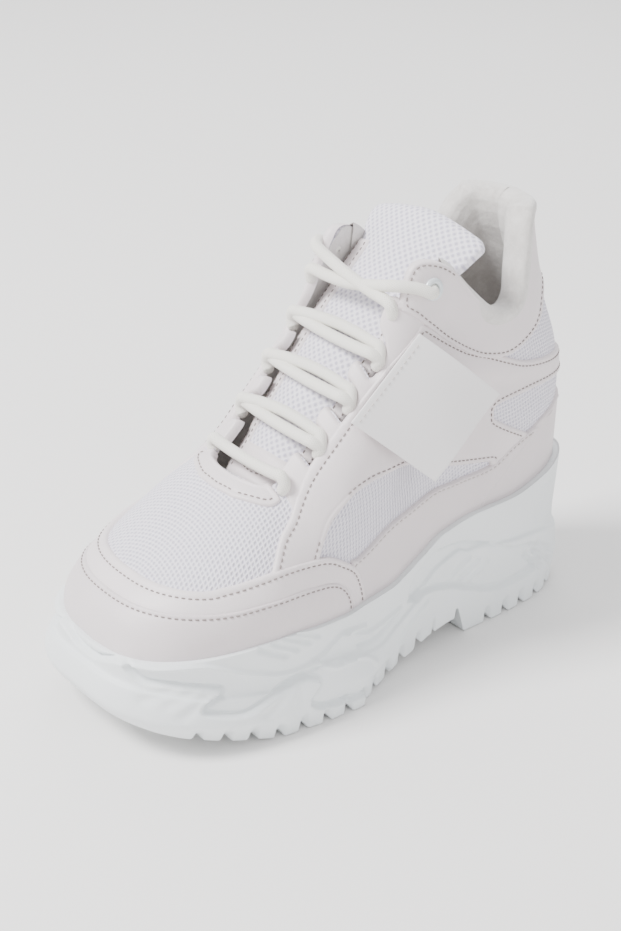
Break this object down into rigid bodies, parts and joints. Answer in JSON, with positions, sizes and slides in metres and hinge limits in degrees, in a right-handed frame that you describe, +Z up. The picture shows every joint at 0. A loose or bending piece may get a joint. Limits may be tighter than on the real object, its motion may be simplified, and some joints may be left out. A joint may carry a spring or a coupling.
{
  "type": "hidden wedge sneaker",
  "caption": "Sneaker for the left foot with a thick stepped sole, a wedge hidden inside, a padded collar and tongue, layered side panels and a laced throat.",
  "frame": {"origin": "middle of the base of the shoe's bounding box, on the floor", "axes": "+Y from the toe to the heel, +X to the outer side of the left foot, +Z up"},
  "size_m": [0.1144, 0.2774, 0.2008],
  "materials": {
    "leather": "smooth matt coated leather, off-white with a warm grey cast",
    "mesh": "coarse knitted mesh, off-white",
    "rubber": "matt moulded sole, white with a slight blue cast",
    "lining": "soft brushed lining, warm off-white",
    "lace": "woven round cord, cream white",
    "ring": "satin pale grey ring",
    "cloth": "smooth woven label cloth, bare, white"
  },
  "bodies": {
    "root": {"upper": "mesh", "tongue": "mesh", "sole": "rubber", "insole": "lining", "toe_rand": "leather", "toe_band": "leather", "throat_lip": "leather", "eyestay_lateral": "leather", "eyestay_medial": "leather", "quarter_lateral": "leather", "quarter_medial": "leather", "foxing_lateral": "leather", "foxing_medial": "leather", "heel_counter": "leather", "collar_band": "leather", "eyelet_lateral": "ring", "eyelet_medial": "ring", "lace_row_1": "lace", "lace_row_2": "lace", "lace_row_3": "lace", "lace_row_4": "lace", "lace_top": "lace", "side_label": "cloth"}
  },
  "joints": []
}
